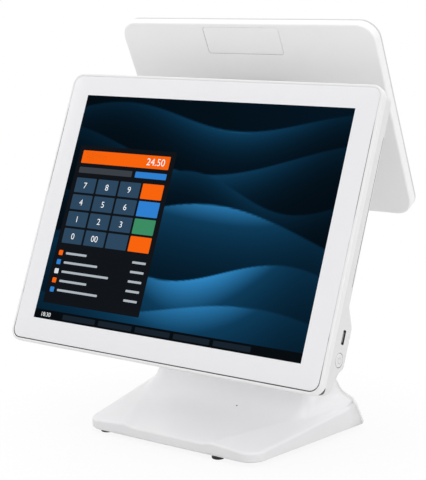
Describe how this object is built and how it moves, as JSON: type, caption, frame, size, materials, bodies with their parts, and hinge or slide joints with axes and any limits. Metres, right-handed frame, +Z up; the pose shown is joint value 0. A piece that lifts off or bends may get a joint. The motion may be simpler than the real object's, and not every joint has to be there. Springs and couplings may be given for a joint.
{
  "type": "pos touchscreen terminal",
  "caption": "White countertop point-of-sale terminal: tilting touchscreen head on a flared wedge stand, with a smaller customer display hinged to its back.",
  "frame": {"origin": "centre of the terminal's outer box, on the counter under its rubber feet", "axes": "+X to the operator's right, +Y away from the operator towards the customer, +Z up from the counter"},
  "size_m": [0.352, 0.2408, 0.3958],
  "materials": {
    "touch_glass": "clear float glass with a polished edge",
    "border_print": "white ink print on film",
    "white_plastic": "white moulded ABS, fine satin texture",
    "housing_plastic": "off-white moulded ABS, fine spark texture",
    "screen": "liquid crystal cell showing a plain sales screen",
    "light_guide": "acrylic light guide block",
    "zinc_steel": "zinc plated sheet steel and screws",
    "hinge_steel": "rolled steel",
    "aluminium": "extruded, plain",
    "circuit_board": "green solder mask",
    "black_plastic": "black moulded plastic",
    "rubber": "black rubber feet"
  },
  "bodies": {
    "stand": {"base_shell": "white_plastic", "rear_cover": "housing_plastic", "bottom_plate": "zinc_steel", "neck_post": "hinge_steel", "tilt_shaft": "hinge_steel", "friction_washers": "hinge_steel", "shaft_nuts": "zinc_steel", "post_screws": "zinc_steel", "plate_screws": "zinc_steel", "rubber_feet": "rubber", "status_lens": "black_plastic"},
    "head": {"touch_glass": "touch_glass", "border_film": "border_print", "front_frame": "white_plastic", "lcd_cell": "screen", "lcd_backlight": "light_guide", "chassis_plate": "zinc_steel", "rear_housing": "housing_plastic", "main_board": "circuit_board", "heat_sink": "aluminium", "memory_module": "circuit_board", "storage_card": "black_plastic", "usb_sockets": "zinc_steel", "lan_socket": "zinc_steel", "serial_socket": "zinc_steel", "dc_inlet": "black_plastic", "port_cover": "white_plastic", "touch_controller": "circuit_board", "side_board": "circuit_board", "side_usb_socket": "zinc_steel", "button_switch": "black_plastic", "speakers": "black_plastic", "housing_screws": "zinc_steel", "hinge_bracket": "hinge_steel", "hinge_screws": "zinc_steel", "customer_arm": "housing_plastic", "arm_screws": "zinc_steel"},
    "power_button": {"power_button": "white_plastic"},
    "customer_display": {"customer_glass": "touch_glass", "customer_film": "border_print", "customer_frame": "white_plastic", "customer_cell": "screen", "customer_backlight": "zinc_steel", "customer_board": "circuit_board", "customer_rear_shell": "housing_plastic", "customer_cover": "housing_plastic", "customer_hinge_leaf": "hinge_steel", "customer_leaf_screws": "zinc_steel", "customer_hinge_pin": "zinc_steel"}
  },
  "joints": [
    {"name": "head_tilt", "type": "hinge", "parent": "stand", "child": "head", "pos_m": [0, -0.031, 0.178], "axis": [-1, 0, 0], "range_deg": [-20, 40]},
    {"name": "customer_tilt", "type": "hinge", "parent": "head", "child": "customer_display", "pos_m": [0, 0.04205, 0.31015], "axis": [1, 0, 0], "range_deg": [-15, 15]},
    {"name": "power_press", "type": "slide", "parent": "head", "child": "power_button", "axis": [-1, 0, 0], "range_m": [0, 0.001], "stiffness_N_per_m": 500, "springref_m": -0.002}
  ]
}
